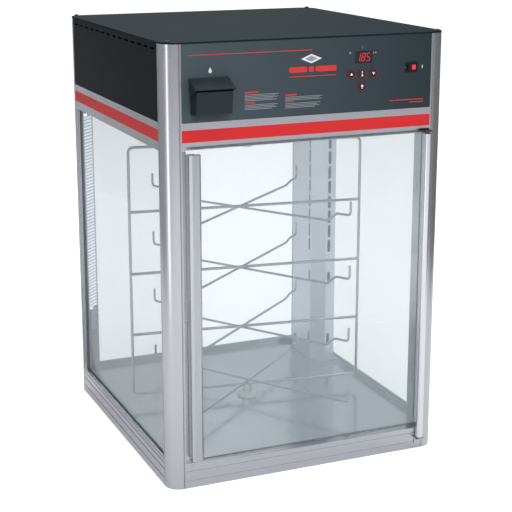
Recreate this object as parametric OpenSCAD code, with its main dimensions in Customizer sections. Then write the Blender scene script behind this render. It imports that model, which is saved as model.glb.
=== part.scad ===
// Countertop food holding cabinet: a glass-sided humidified display case with a rotating
// four-tier wire rack. Millimetres, +Z up, origin at the centre of the base underside,
// on the rack's axis. +X is the cabinet's right seen from the front, +Y is its back.

/* [Cabinet] */
// Width over the corner posts
cab_w = 570; // [520:5:640]
// Depth over the corner posts
cab_d = 610; // [590:5:680]
// Height to the top of the corner posts
post_h = 838.4; // [800:0.1:900]
// Flange width of a corner post on each face
post_w = 33; // [30:1:40]
// Outer corner radius of a post
post_r = 28; // [20:1:30]
// Wall thickness of the extruded posts
post_wall = 2.2; // [1.5:0.1:3]

/* [Rails] */
// Height of the side and back base rails
base_h = 54; // [48:1:60]
// Height of the front base rail, flush with the floor
sill_h = 44; // [40:1:46]
// Underside of the side and back header rails
header_z = 647; // [600:1:660]
// Underside of the front header rail
lintel_z = 658; // [650:1:662]
// Top of all header rails, where the control housing starts
header_top = 698.4; // [690:0.1:710]
// Bottom of the coloured accent stripe
stripe_low = 663.2; // [660:0.1:668]
// Top of the coloured accent stripe
stripe_high = 685.4; // [680:0.1:692]

/* [Glass] */
// Glass thickness of the side and back panels
pane_t = 4; // [3:0.5:5]
// Distance of the panes behind the outer faces
pane_in = 7; // [6:0.5:9]
// Glass thickness of the door
door_t = 5; // [4:0.5:5]
// Top of the door glass
door_top = 652; // [640:1:653]
// Bottom of the door glass
door_z = 53.6; // [46:0.1:60]

/* [Rotating rack] */
// Radius of the rack's upright wires
rack_r = 247.5; // [200:0.5:248]
// Angle of the rack frame from the cabinet's width at rest
rack_turn = -8.2; // [-30:0.1:30]
// Height of the lowest tier, at the frame's bottom bar
tier_z = 69; // [66:1:75]
// Height from one tier to the next
tier_step = 131.3; // [120:0.1:135]
// Height of the frame's top bar
rack_top = 597; // [590:1:598]
// Radius of the frame wire
frame_wire = 3; // [2.5:0.1:4]
// Radius of the pan support wire
hook_wire = 2.5; // [2:0.1:3]
// Angle of the pan support wires from the frame's plane
hook_turn = 49; // [40:1:60]

/* [Control panel] */
// Number of ventilation slots on each side of the control housing
vent_count = 14; // [6:1:14]
// Spacing of the ventilation slots
vent_pitch = 38; // [30:1:38]
// Radius of a push button
button_r = 8.6; // [7:0.1:9]
// Travel of a push button
button_stroke = 0.8; // [0.4:0.1:1]

/* [Hidden] */

$fn = 64;
e = 0.5;                          // overlap that lets one cut pass a face
half_w = cab_w / 2;
half_d = cab_d / 2;
inner_w = half_w - post_w;        // half the opening between posts, across the front
inner_d = half_d - post_w;        // half the opening between posts, along the side
rail_wall = 2;
ledge_z = sill_h - 1.5;           // the floor pan lies on this ledge
deck_z = header_z + 8;            // top of the glazing slots, underside of the deck
lip_out = 5.5;                    // outer glazing lip
fin = [12.5, 14];                 // inner glazing fin, from the outer face
jamb_d = 55;                      // depth of a door jamb
stop = [8.3, 9.8];                // door stop fin, from the front face
stop_reach = 10;                  // how far the stop reaches into the opening
sheet = 1.5;                      // sheet metal thickness
cover_h = 3.1;                    // height of the top cover
boss = 13.5;                      // screw boss centre, from a post's two faces
fit = 0.05;                       // radial clearance of a running fit

aluminium = "#b8bbc2";
steel = "#b0b3b8";
glass_tint = [0.89, 0.93, 0.95, 0.35];
slate = "#3f4a50";
black = "#20292d";
red = "#e23f45";
chrome = "#c9ccd0";

// ---------- helpers ----------

// Square of side w at the origin with its outer corner rounded to radius r
module corner_2d(w, r) {
    intersection() {
        translate([r, r]) circle(r);
        square(w);
    }
    translate([r, 0]) square([w - r, w]);
    translate([0, r]) square([w, w - r]);
}

// Rectangle centred on the origin with rounded corners
module rounded_2d(w, h, r) {
    square([w - 2 * r, h], center = true);
    square([w, h - 2 * r], center = true);
    for (x = [-1, 1], y = [-1, 1]) translate([x * (w / 2 - r), y * (h / 2 - r)]) circle(r);
}

// Slot in the XY plane, centred, long along Y
module slot_2d(w, l) {
    square([w, l - w], center = true);
    for (y = [-1, 1]) translate([0, y * (l - w) / 2]) circle(w / 2);
}

// Extrudes a 2D shape drawn in X and Z along Y, from y0 over length l
module along_y(y0, l) {
    translate([0, y0 + l, 0]) rotate([90, 0, 0]) linear_extrude(l) children();
}

// Extrudes a 2D profile drawn as (depth behind a face, Z) along a wall centred on the
// origin's axis: the face lies at distance d from the centre, turned by angle a
module wall_profile(d, length, a) {
    rotate([0, 0, a]) translate([-length / 2, -d, 0]) rotate([90, 0, 90])
        linear_extrude(length) children();
}

// Round wire between two points
module wire(a, b, r) {
    v = b - a;
    l = norm(v);
    translate(a) rotate([0, acos(v[2] / l), atan2(v[1], v[0])]) cylinder(r = r, h = l);
}

function unit(v) = v / norm(v);

// Extrudes a shape drawn as (y, z) along x, from start over a length
module along_x(start, length) {
    translate([start, 0, 0]) rotate([90, 0, 90]) linear_extrude(length) children();
}

// Points of the arc that rounds corner b between a and c, in a plane
function corner_arc(a, b, c, bend) =
    let (u = unit(b - a), w = unit(c - b), turn = acos(u * w),
        side = u[0] * w[1] - u[1] * w[0] > 0 ? 1 : -1,
        start = b - bend * tan(turn / 2) * u)
    [for (k = [0:4]) start + bend * (sin(turn * k / 4) * u + side * (1 - cos(turn * k / 4)) * [-u[1], u[0]])];

// Wire along points in the XZ plane, each corner rounded to the centreline radius bend
module bent_wire(points, r, bend, sides = 14) {
    n = len(points);
    path = [points[0], for (i = [1:n - 2]) each corner_arc(points[i - 1], points[i], points[i + 1], bend),
        points[n - 1]];
    m = len(path);
    way = [for (i = [0:m - 1]) unit(unit(path[min(i + 1, m - 1)] - path[min(i, m - 2)])
        + unit(path[max(i, 1)] - path[max(i - 1, 0)]))];
    rings = [for (i = [0:m - 1], k = [0:sides - 1]) let (out = r * cos(360 * k / sides))
        [path[i][0] - out * way[i][1], r * sin(360 * k / sides), path[i][1] + out * way[i][0]]];
    polyhedron(rings, concat(
        [[for (k = [sides - 1:-1:0]) k]],
        [[for (k = [0:sides - 1]) (m - 1) * sides + k]],
        [for (i = [0:m - 2], k = [0:sides - 1]) let (a = i * sides + k, b = i * sides + (k + 1) % sides)
            each [[a, b, a + sides], [b, b + sides, a + sides]]]));
}

// Puts a shape drawn with the cabinet corner at the origin onto one of the four corners
module at_corner(x, y) {
    translate([x * half_w, y * half_d, 0]) mirror([x > 0 ? 1 : 0, 0]) mirror([0, y > 0 ? 1 : 0])
        children();
}

// ---------- frame ----------

module post_shell_2d() {
    difference() {
        corner_2d(post_w, post_r);
        translate([post_wall, post_wall]) corner_2d(post_w, post_r - post_wall);
        for (g = [28.4, 30.6], s = [0, 1]) mirror([s, -s]) translate([g, -e]) square([1, 0.6 + e]);
    }
    for (s = [0, 1]) mirror([s, -s]) translate([post_w - 2, 0]) square([2, fin[1]]);
    difference() {
        union() {
            translate([boss, boss]) circle(4.2);
            rotate(45) translate([12.5, -1.2]) square([4, 2.4]);
        }
        translate([boss, boss]) circle(2.05);
    }
}

// Pair of fins that hold the edge of a pane standing along local Y
module glazing_fins_2d() {
    translate([4, post_w - e]) square([1.5, 9 + e]);
    translate([fin[0], post_w - e]) square([fin[1] - fin[0], 9 + e]);
}

module front_post() {
    linear_extrude(post_h) post_shell_2d();
    translate([0, 0, base_h]) linear_extrude(header_z - base_h) {
        glazing_fins_2d();
        translate([post_w - e, stop[0]]) square([stop_reach + e, stop[1] - stop[0]]);
    }
    translate([0, 0, sill_h]) linear_extrude(deck_z - sill_h) difference() {
        translate([16, 16]) square([post_w - 16, jamb_d - 16]);
        translate([16 + rail_wall, 16 - e])
            square([post_w - 16 - 2 * rail_wall, jamb_d - 16 - rail_wall + e]);
    }
}

module back_post() {
    linear_extrude(post_h) post_shell_2d();
    translate([0, 0, base_h]) linear_extrude(header_z - base_h) {
        glazing_fins_2d();
        mirror([1, -1]) glazing_fins_2d();
    }
}

module post_front_left() { color(aluminium) at_corner(-1, -1) front_post(); }
module post_front_right() { color(aluminium) at_corner(1, -1) front_post(); }
module post_back_left() { color(aluminium) at_corner(-1, 1) back_post(); }
module post_back_right() { color(aluminium) at_corner(1, 1) back_post(); }

// Base rail with a glazing slot on top, as depth and height
module base_rail_2d() {
    difference() {
        union() {
            square([post_w, ledge_z]);
            polygon([[0, ledge_z - e], [lip_out, ledge_z - e], [lip_out, base_h], [1.5, base_h],
                [0, base_h - 3]]);
            translate([fin[0], ledge_z - e]) square([fin[1] - fin[0], base_h - ledge_z + e]);
        }
        translate([rail_wall, rail_wall]) square([post_w - 2 * rail_wall, ledge_z - 2 * rail_wall]);
        for (z = [14, 32, 45]) translate([-e, z]) square([0.9 + e, 2.6]);
    }
}

module sill_2d() {
    difference() {
        union() {
            square([post_w, ledge_z]);
            translate([0, ledge_z - e]) square([12, sill_h - ledge_z + e]);
        }
        translate([rail_wall, rail_wall]) square([post_w - 2 * rail_wall, ledge_z - 2 * rail_wall]);
        for (z = [14, 33]) translate([-e, z]) square([0.9 + e, 2.6]);
    }
}

module header_rail_2d(low) {
    difference() {
        translate([0, low]) square([post_w, header_top - low]);
        translate([rail_wall, low + rail_wall])
            square([post_w - 2 * rail_wall, header_top - low - 2 * rail_wall]);
        translate([-e, stripe_low]) square([1.2 + e, stripe_high - stripe_low]);
    }
}

module glazed_header_2d() {
    header_rail_2d(deck_z);
    translate([0, header_z]) square([lip_out, deck_z - header_z + e]);
    translate([fin[0], header_z]) square([fin[1] - fin[0], deck_z - header_z + e]);
}

module lintel_2d() {
    header_rail_2d(lintel_z);
    translate([stop[0], lintel_z - stop_reach]) square([stop[1] - stop[0], stop_reach + e]);
}

module base_rail_front() { color(aluminium) wall_profile(half_d, 2 * inner_w, 0) sill_2d(); }
module base_rail_back() { color(aluminium) wall_profile(half_d, 2 * inner_w, 180) base_rail_2d(); }
module base_rail_left() { color(aluminium) wall_profile(half_w, 2 * inner_d, -90) base_rail_2d(); }
module base_rail_right() { color(aluminium) wall_profile(half_w, 2 * inner_d, 90) base_rail_2d(); }
module header_rail_front() { color(aluminium) wall_profile(half_d, 2 * inner_w, 0) lintel_2d(); }
module header_rail_back() { color(aluminium) wall_profile(half_d, 2 * inner_w, 180) glazed_header_2d(); }
module header_rail_left() { color(aluminium) wall_profile(half_w, 2 * inner_d, -90) glazed_header_2d(); }
module header_rail_right() { color(aluminium) wall_profile(half_w, 2 * inner_d, 90) glazed_header_2d(); }

module accent_strips() {
    sides = [[half_d, inner_w, 0], [half_d, inner_w, 180], [half_w, inner_d, 90], [half_w, inner_d, -90]];
    color(red) for (w = sides)
        wall_profile(w[0], 2 * w[1], w[2]) translate([0.2, stripe_low]) square([1, stripe_high - stripe_low]);
}

// ---------- floor, base and glass ----------

module floor_pan() {
    color(steel) difference() {
        translate([-half_w + fin[1], -half_d + 12, ledge_z])
            cube([cab_w - 2 * fin[1], cab_d - 12 - fin[1], sheet]);
        for (x = [-1, 1], y = [-1, 1]) translate([x * half_w, y * half_d, sill_h])
            cube(2 * [post_w + e, post_w + e, 10], center = true);
        translate([0, 0, ledge_z - e]) cylinder(r = 12, h = sheet + 2 * e);
    }
}

module bottom_cover() {
    color(steel) translate([-inner_w, -inner_d, 0]) cube([2 * inner_w, 2 * inner_d, sheet]);
}

pane_z = [46, header_z + 5];      // lower and upper edge of the fixed panes
pane_reach = 2;                   // how far a pane's edge stands behind the post's web

module pane(width, d, a) {
    wall_profile(d, width, a) translate([pane_in, pane_z[0]]) square([pane_t, pane_z[1] - pane_z[0]]);
}

module side_panes() { color(glass_tint) for (a = [-90, 90]) pane(2 * (inner_d - pane_reach), half_w, a); }
module back_pane() { color(glass_tint) pane(2 * (inner_w - pane_reach), half_d, 180); }

// Soft glazing channel all round one pane
module gasket(half_width, d, a) {
    difference() {
        wall_profile(d, 2 * (half_width - 0.5), a)
            translate([lip_out, ledge_z + 0.5]) square([fin[0] - lip_out, deck_z - ledge_z - 1]);
        wall_profile(d, 2 * (half_width - 8), a)
            translate([0, base_h - 1]) square([2 * post_w, header_z - base_h + 2]);
        wall_profile(d, 2 * (half_width - pane_reach), a)
            translate([pane_in, pane_z[0]]) square([pane_t, pane_z[1] - pane_z[0]]);
    }
}

module pane_gaskets() {
    color("#d8dadd") {
        gasket(inner_w, half_d, 180);
        for (a = [-90, 90]) gasket(inner_d, half_w, a);
    }
}

// ---------- control housing ----------

hopper_x = -201;                  // centre of the fill hopper
tank = [[-245, -270, deck_z + sheet], [-105, -165, 712]];
blower = [150, 165];              // blower axis
shaft_hole = 9;
duct_hole = [[226, 157], [266, 247]];

module header_deck() {
    color(steel) difference() {
        translate([-inner_w, -inner_d, deck_z]) cube([2 * inner_w, 2 * inner_d, sheet]);
        translate([0, 0, deck_z - e]) cylinder(r = shaft_hole, h = sheet + 2 * e);
        translate([blower[0], blower[1], deck_z - e]) cylinder(r = 34, h = sheet + 2 * e);
        translate([duct_hole[0][0], duct_hole[0][1], deck_z - e])
            cube([inner_w - duct_hole[0][0] - 4, duct_hole[1][1] - duct_hole[0][1], sheet + 2 * e]);
        for (x = [-90:20:-30]) translate([x, -235, deck_z - e]) linear_extrude(sheet + 2 * e) slot_2d(6, 50);
    }
}

button_pos = [[83, 769], [105.3, 769], [129, 769], [105.5, 745.5]];
display = [[91, 789], [126, 811]];
rocker_pos = [209.5, 776.5];
panel_face = 0.5;                 // the control panel stands this far behind the posts' faces
panel_y = -half_d + panel_face;

module control_panel() {
    color(slate) difference() {
        wall_profile(half_d, 2 * inner_w, 0) {
            translate([panel_face, header_top]) square([sheet, post_h - header_top]);
            translate([panel_face, header_top]) square([12, sheet]);
            translate([panel_face, post_h - sheet]) square([12, sheet]);
        }
        along_y(panel_y - e, sheet + 2 * e) {
            for (p = button_pos) translate(p) circle(button_r + 0.4);
            translate(display[0]) square(display[1] - display[0]);
            translate(rocker_pos) square([22.4, 15.4], center = true);
            translate([hopper_x, 738]) square([46, 40], center = true);
        }
    }
}

vent_z = post_h - 11;

module header_side_panels() {
    color(black) for (a = [-90, 90]) difference() {
        wall_profile(half_w, 2 * inner_d, a) {
            translate([panel_face, header_top]) square([sheet, post_h - header_top]);
            translate([panel_face, header_top]) square([12, sheet]);
            translate([panel_face, post_h - sheet]) square([12, sheet]);
        }
        for (i = [0:vent_count - 1])
            rotate([0, 0, a])
                translate([(i - (vent_count - 1) / 2) * vent_pitch, -half_w + panel_face - e, vent_z])
                rotate([-90, 90, 0]) linear_extrude(sheet + 2 * e) slot_2d(3.6, 22);
    }
}

gland_pos = [-170, 735];
gland_r = 5;

module header_back_panel() {
    color(black) difference() {
        wall_profile(half_d, 2 * inner_w, 180) {
            translate([panel_face, header_top]) square([sheet, post_h - header_top]);
            translate([panel_face, header_top]) square([12, sheet]);
            translate([panel_face, post_h - sheet]) square([12, sheet]);
        }
        along_y(half_d - panel_face - sheet - e, sheet + 2 * e) {
            translate(gland_pos) circle(9.6);
            for (x = [60:16:188], z = [735, 795]) translate([x, z]) slot_2d(5, 40);
        }
    }
}

// Cable gland, its bore ready for a supply cord
module cord_gland() {
    color("#15181a") difference() {
        union() {
            along_y(half_d - 14, 14) translate(gland_pos) circle(9.5);
            along_y(half_d - panel_face, 5) translate(gland_pos) circle(14, $fn = 6);
            along_y(half_d - panel_face + 5, 8) translate(gland_pos) circle(9);
            along_y(half_d - panel_face - sheet - 4, 4) translate(gland_pos) circle(14, $fn = 6);
        }
        along_y(half_d - 20, 40) translate(gland_pos) circle(gland_r);
    }
}

module top_cover() {
    color(black) difference() {
        translate([0, 0, post_h]) linear_extrude(cover_h) rounded_2d(cab_w, cab_d, post_r);
        translate([0, 0, post_h - e]) linear_extrude(cover_h - sheet + e)
            rounded_2d(cab_w - 2 * sheet, cab_d - 2 * sheet, post_r - sheet);
        for (x = [-1, 1], y = [-1, 1]) translate([x * (half_w - boss), y * (half_d - boss), post_h])
            cylinder(r = 2.05, h = cover_h + e);
    }
}

module dome_screw() {
    cylinder(r = 5, h = 0.8);
    translate([0, 0, 0.8]) intersection() {
        translate([0, 0, -3.2]) sphere(6);
        translate([-5, -5, 0]) cube([10, 10, 6]);
    }
    translate([0, 0, -14]) cylinder(r = 2, h = 14.2);
}

module cover_screws() {
    color("#5a6266") for (x = [-1, 1], y = [-1, 1])
        translate([x * (half_w - boss), y * (half_d - boss), post_h + cover_h]) dome_screw();
}

// ---------- air circulation ----------

duct = [[half_w - 14.5, 251], [222, 251], [222, 153], [248, 127], [half_w - 14.5, 127]];
duct_wall = 1.2;
duct_in = [[duct[0][0] - duct_wall, 251 - duct_wall], [222 + duct_wall, 251 - duct_wall],
    [222 + duct_wall, 153 + 0.41 * duct_wall], [248 + 0.41 * duct_wall, 127 + duct_wall],
    [duct[0][0] - duct_wall, 127 + duct_wall]];
slot_rows = concat([for (i = [0:7]) 319 + 34 * i], [243, 96]);

module air_duct() {
    color("#c6c8ce") difference() {
        translate([0, 0, sill_h]) linear_extrude(deck_z - sill_h) polygon(duct);
        translate([0, 0, sill_h + duct_wall]) linear_extrude(deck_z - sill_h) polygon(duct_in);
        for (z = slot_rows) {
            along_y(126, 4) translate([255, z]) slot_2d(7, 29);
            translate([221, 161, z]) rotate([90, 0, 90]) linear_extrude(4) slot_2d(7, 29);
        }
    }
}

// Sensing probe clipped to the slanted face of the duct
module temperature_probe() {
    out = [-0.7071, -0.7071];
    mid = [235 + 4.2 * out[0], 140 + 4.2 * out[1]];
    color("#6e7378") {
        wire([mid[0] + 4, mid[1] - 4, 636], [mid[0] - 3, mid[1] + 3, 606], 2.2);
        translate([mid[0] - 3, mid[1] + 3, 606]) sphere(2.2);
        translate([235, 140, 622]) rotate([0, 0, -45]) translate([-3, -6.6, -3]) cube([6, 6.6, 6]);
    }
}

fan_z = deck_z + sheet;           // the blower stands on the deck
fan_h = 56;
fan_wall = 1.6;

module blower_housing() {
    box_x = 268 - 18 - blower[0];
    color(steel) difference() {
        union() {
            translate([blower[0], blower[1], fan_z]) cylinder(r = 62, h = fan_h);
            translate([blower[0], duct_hole[0][1], fan_z]) cube([box_x, 90, fan_h]);
        }
        translate([blower[0], blower[1], fan_z + fan_wall])
            cylinder(r = 62 - fan_wall, h = fan_h - 2 * fan_wall);
        translate([blower[0], duct_hole[0][1] + fan_wall, fan_z + fan_wall])
            cube([box_x - fan_wall, 90 - 2 * fan_wall, fan_h - 2 * fan_wall]);
        translate([blower[0], blower[1], fan_z - e]) cylinder(r = 34, h = fan_wall + 2 * e);
        translate([blower[0], blower[1], fan_z + fan_h / 2]) cylinder(r = 10, h = fan_h);
        translate([duct_hole[0][0], duct_hole[0][1] + fan_wall, fan_z - e]) cube([20, 86, fan_wall + 2 * e]);
    }
}

module blower_motor() {
    color("#4b5257") translate([blower[0], blower[1], fan_z + fan_h]) difference() {
        union() {
            cylinder(r = 30, h = 4);
            translate([0, 0, 4]) cylinder(r = 26, h = 34);
            translate([0, 0, 38]) cylinder(r = 9, h = 6);
        }
        translate([0, 0, -e]) cylinder(r = 3 + fit, h = 30);
    }
}

// Drum impeller with its own shaft, which turns in the motor
module blower_wheel() {
    color("#8e959a") translate([blower[0], blower[1], 0]) {
        translate([0, 0, fan_z + 8]) difference() {
            cylinder(r = 52, h = 40);
            translate([0, 0, -e]) cylinder(r = 43, h = 38 + e);
            for (i = [0:23]) rotate([0, 0, i * 15]) translate([30, -4.5, 4]) cube([30, 9, 30]);
        }
        translate([0, 0, fan_z + 46]) cylinder(r = 52, h = 2);
        translate([0, 0, fan_z + 30]) cylinder(r = 8, h = 18);
        translate([0, 0, fan_z + 46]) cylinder(r = 3, h = fan_h - 46 + 26);
    }
}

// Finned heating element across the blower outlet
module air_heater() {
    x = 213;
    color("#9a8f86") {
        for (y = [164, 238]) translate([x, y, fan_z + 4]) cube([18, 2, 48]);
        for (z = [14, 28, 42]) wire([x + 9, 165, fan_z + z], [x + 9, 239, fan_z + z], 3);
        for (y = [172:8:232]) translate([x, y, fan_z + 6]) cube([18, 0.8, 44]);
    }
}

// ---------- lamp in the back left post ----------

// Frame with X pointing from the back left corner diagonally into the cabinet
module lamp_frame() { translate([-half_w, half_d, 0]) rotate([0, 0, -45]) children(); }

lamp_z = [141, 197, 625, 650];    // lower holder, lens bottom, lens top, upper holder top
tube_r = 5.5;
tube_at = 30.4;                   // diagonal distance of the tube from the corner
lens_at = 37.4;

module lamp_reflector() {
    color("white") lamp_frame() translate([0, 0, lamp_z[1]]) linear_extrude(lamp_z[2] - lamp_z[1]) {
        translate([23.5, -8]) square([1, 16]);
        for (s = [0, 1]) mirror([0, s]) polygon([[23.5, 8], [24.5, 7], [36.8, 10], [36.8, 11]]);
    }
}

module lamp_tube() {
    color("#f4f6f8") lamp_frame() translate([tube_at, 0, lamp_z[1] - 8]) {
        cylinder(r = tube_r, h = lamp_z[2] - lamp_z[1] + 16);
        for (y = [-1.5, 1.5]) translate([0, y * 1.2, -5]) cylinder(r = 0.8, h = lamp_z[2] - lamp_z[1] + 26);
    }
}

module lamp_lens() {
    color("#eef1f3") lamp_frame() translate([lens_at, -16.5, lamp_z[1] - 2])
        linear_extrude(lamp_z[2] - lamp_z[1] + 4) {
            square([1.5, 33]);
            for (y = [2:3:31]) translate([1.4, y]) square([0.6, 1.4]);
        }
}

module lamp_holders() {
    color("#dfe2e5") lamp_frame() for (z = [[lamp_z[0], lamp_z[1] - 8], [lamp_z[2] + 8, lamp_z[3]]])
        translate([24.8, -10.5, z[0]]) difference() {
            cube([14, 21, z[1] - z[0]]);
            for (y = [-1.8, 1.8]) translate([tube_at - 24.8, 10.5 + y, -e])
                cylinder(r = 0.9, h = z[1] - z[0] + 2 * e);
        }
}

// ---------- water filling and humidity ----------

hopper_w = 68;
hop_y = panel_y;                  // back of the hopper, on the panel
hop_wall = 2.4;
lid_w = 75;
lid_axis = [hop_y - 3.5, 776];    // hinge line of the lid, as y and z
lid_pin_r = 1.5;
ear_x = 27;                       // the two ears stand this far from the middle

// Side outline of the hopper body as (y, z), from the panel outwards
module hopper_side_2d() {
    polygon([[hop_y, 713], [hop_y - 30, 716], [hop_y - 35, 757],
        [hop_y - 8, 765], [hop_y, 765]]);
}

// Ear on the hopper that carries one end of the lid's pin
module lid_ear(x) {
    along_x(x - 3, 6) difference() {
        union() {
            translate(lid_axis) circle(2.6);
            translate([lid_axis[0] - 2.6, 757]) square([hop_y - lid_axis[0] + 2.6, lid_axis[1] - 757]);
        }
        translate(lid_axis) circle(lid_pin_r + fit);
    }
}

module fill_hopper() {
    inner = hopper_w - 2 * hop_wall;
    spout = [44, 50, 34];
    color("#262f35") {
        difference() {
            union() {
                along_x(hopper_x - hopper_w / 2, hopper_w) hopper_side_2d();
                translate([hopper_x - spout[0] / 2, hop_y, 720]) cube(spout);
            }
            along_x(hopper_x - inner / 2, inner)
                polygon([[hop_y - hop_wall, 716], [hop_y - 28, 719], [hop_y - 32.5, 790],
                    [hop_y - hop_wall, 790]]);
            translate([hopper_x - spout[0] / 2 + 2, hop_y - 10, 722]) cube([spout[0] - 4, 70, spout[2]]);
        }
        for (s = [-1, 1]) lid_ear(hopper_x + s * ear_x);
    }
}

module hopper_lid() {
    lid_2d = [[lid_axis[0], lid_axis[1] + 2.2], [hop_y - 40, 763.5], [hop_y - 40.6, 761.2],
        [hop_y - 38.6, 760.4], [lid_axis[0], lid_axis[1] - 0.8]];
    cheek_2d = [[hop_y - 4, 776], [hop_y - 39.5, 762.5], [hop_y - 13, 747], [hop_y - 9, 748]];
    color("#1a2227") {
        difference() {
            along_x(hopper_x - lid_w / 2, lid_w) {
                polygon(lid_2d);
                translate(lid_axis) circle(2.2);
            }
            for (s = [-1, 1]) translate([hopper_x + s * ear_x - 3.5, lid_axis[0] - 3.2, lid_axis[1] - 5])
                cube([7, 8, 10]);
        }
        for (s = [-1, 1]) along_x(hopper_x + s * (lid_w / 2 - 1) - 1, 2) polygon(cheek_2d);
        along_x(hopper_x - 32, 64) translate(lid_axis) circle(lid_pin_r);
    }
}

module water_tank() {
    size = tank[1] - tank[0];
    color("#cfd6d9") difference() {
        translate(tank[0]) cube(size);
        translate(tank[0] + [2, 2, 2]) cube(size - [4, 4, 0]);
    }
}

module tank_heater() {
    mid = (tank[0] + tank[1]) / 2;
    z = tank[0][2] + 14;
    color("#a7abaf") {
        for (y = [mid[1] - 22, mid[1] + 22])
            wire([tank[0][0] + 40, y, z], [tank[1][0] - 6, y, z], 4);
        translate([tank[0][0] + 40, mid[1], z]) rotate([0, 0, 90]) rotate_extrude(angle = 180)
            translate([22, 0]) circle(4);
        translate([tank[1][0] - 6, mid[1] - 32, z - 10]) cube([4, 64, 20]);
    }
}

// ---------- electrics ----------

board_y = panel_y + sheet + 7.5;
press_z = button_stroke + 0.1;                    // gap between a button's stem and its switch at rest

module control_board() {
    color("#2f6b45") {
        translate([66, board_y, 732]) cube([84, 1.6, 90]);
        for (p = button_pos) translate([p[0] - 3, board_y - 3.4, p[1] - 3]) cube([6, 3.5, 6]);
        for (x = [72, 92, 112]) translate([x, board_y + 1.5, 790]) cube([12, 8, 16]);
    }
}

module display_module() {
    color("#140506") translate([display[0][0] + 0.5, panel_y + 0.3, display[0][1] + 0.5])
        cube([display[1][0] - display[0][0] - 1, board_y - panel_y - 0.3, display[1][1] - display[0][1] - 1]);
}

module power_supply() {
    color("#8d9298") {
        translate([-230, 150, fan_z]) cube([110, 80, 4]);
        translate([-222, 160, fan_z + 4]) cube([50, 46, 42]);
        translate([-162, 158, fan_z + 4]) cube([34, 60, 22]);
    }
    color("#e9e3d2") translate([-160, 128, fan_z]) difference() {
        cube([70, 18, 20]);
        for (x = [8:11:66]) translate([x, 9, 8]) cylinder(r = 3, h = 20);
    }
}

module button(i) {
    p = button_pos[i];
    color("#26292c") {
        along_y(panel_y - 1.1, sheet + 1.4) translate(p) circle(button_r);
        along_y(panel_y + sheet + 0.3, 1) translate(p) circle(button_r + 1.4);
        along_y(panel_y + sheet + 1.2, 7.5 - 3.4 - press_z - 1.2) translate(p) circle(2.6);
    }
}

module button_up() { button(0); }
module button_probe() { button(1); }
module button_down() { button(2); }
module button_light() { button(3); }

rocker_axis_y = panel_y + 2;
rocker_tilt = 7;

module rocker_bezel() {
    color("#101316") difference() {
        union() {
            along_y(panel_y - 1.4, 1.4) translate(rocker_pos) rounded_2d(26, 19, 2);
            along_y(panel_y - 0.1, 18) translate(rocker_pos) square([22, 15], center = true);
        }
        along_y(panel_y - 2, 16) translate(rocker_pos) square([19.4, 12.4], center = true);
    }
}

module rocker_switch() {
    outline = [[-8.6, -4.6], [0, -3.2], [8.6, -4.6], [8.6, 2], [2, 5], [-2, 5], [-8.6, 2]];
    color("#b01822") translate([rocker_pos[0], rocker_axis_y, rocker_pos[1] - 5.8])
        rotate([0, 0, rocker_tilt]) {
            linear_extrude(11.6) polygon(outline);
            translate([0, 0, -0.3]) cylinder(r = 1.5, h = 12.2);
        }
}

// ---------- rack drive ----------

coupling_z = [588.5, 640];

module rack_gearmotor() {
    color("#6d747a") {
        translate([-38, -26, fan_z]) difference() {
            cube([104, 52, 30]);
            translate([38, 26, -e]) cylinder(r = 5 + fit, h = 24 + e);
        }
        translate([34, 0, fan_z + 30]) cylinder(r = 24, h = 44);
        translate([34, 0, fan_z + 74]) cylinder(r = 8, h = 5);
    }
}

// Output shaft with a forked socket that straddles the rack's top bar
module drive_coupling() {
    color("#8f959b") difference() {
        union() {
            translate([0, 0, coupling_z[0]]) cylinder(r = 10, h = coupling_z[1] - coupling_z[0]);
            translate([0, 0, coupling_z[1] - 1]) cylinder(r = 5, h = fan_z + 22 - coupling_z[1] + 1);
        }
        translate([0, 0, coupling_z[0] - e]) cylinder(r = 5 + fit, h = 30 + e);
        rotate([0, 0, rack_turn]) translate([-15, -frame_wire - 0.4, coupling_z[0] - e])
            cube([30, 2 * frame_wire + 0.8, rack_top + frame_wire + 0.5 - coupling_z[0] + e]);
    }
}

module floor_bushing() {
    color("#e8e6df") difference() {
        union() {
            translate([0, 0, sill_h]) cylinder(r = 20, h = 5);
            translate([0, 0, 30]) cylinder(r = 11.9, h = sill_h - 29);
        }
        translate([0, 0, 33]) cylinder(r = 5 + fit, h = 20);
    }
}

module rack_frame() {
    hub = [9, 49.3];                  // radius and underside of the lower hub
    ring = [[-3, tier_z], [-rack_r, tier_z], [-rack_r, rack_top], [rack_r, rack_top],
        [rack_r, tier_z], [3, tier_z]];
    color(chrome) rotate([0, 0, rack_turn]) {
        bent_wire(ring, frame_wire, 11);
        translate([0, 0, rack_top]) cylinder(r = 5, h = 16);
        translate([0, 0, hub[1]]) cylinder(r = hub[0], h = tier_z + 2.2 - hub[1]);
        translate([0, 0, 35]) cylinder(r = 5, h = hub[1] - 35 + 1);
    }
}

hook_r = 250;
hook_lift = 12;                   // the hooked ends stand this far above the tier
hook_tip = 40;                    // top of the hooks above the tier
weld = 0.04;                      // gap left for the weld where wires cross

// One pan support wire: flat in the middle, stepped up at its hooked ends
module hook_wire_at(z, level) {
    points = [[-hook_r, z + hook_tip], [-hook_r, z + hook_lift], [-218, z + hook_lift],
        [-196, z + level], [196, z + level], [218, z + hook_lift],
        [hook_r, z + hook_lift], [hook_r, z + hook_tip]];
    bent_wire(points, hook_wire, 7);
}

module rack_tier(i) {
    z = tier_z + i * tier_step;
    nest = frame_wire + hook_wire + weld;
    reach = rack_r - frame_wire - weld;
    color(chrome) rotate([0, 0, rack_turn]) {
        if (i > 0) wire([-reach, 0, z], [reach, 0, z], frame_wire);
        rotate([0, 0, hook_turn]) hook_wire_at(z, nest);
        rotate([0, 0, -hook_turn]) hook_wire_at(z, i > 0 ? -nest : nest + 2 * hook_wire + weld);
    }
}

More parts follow.
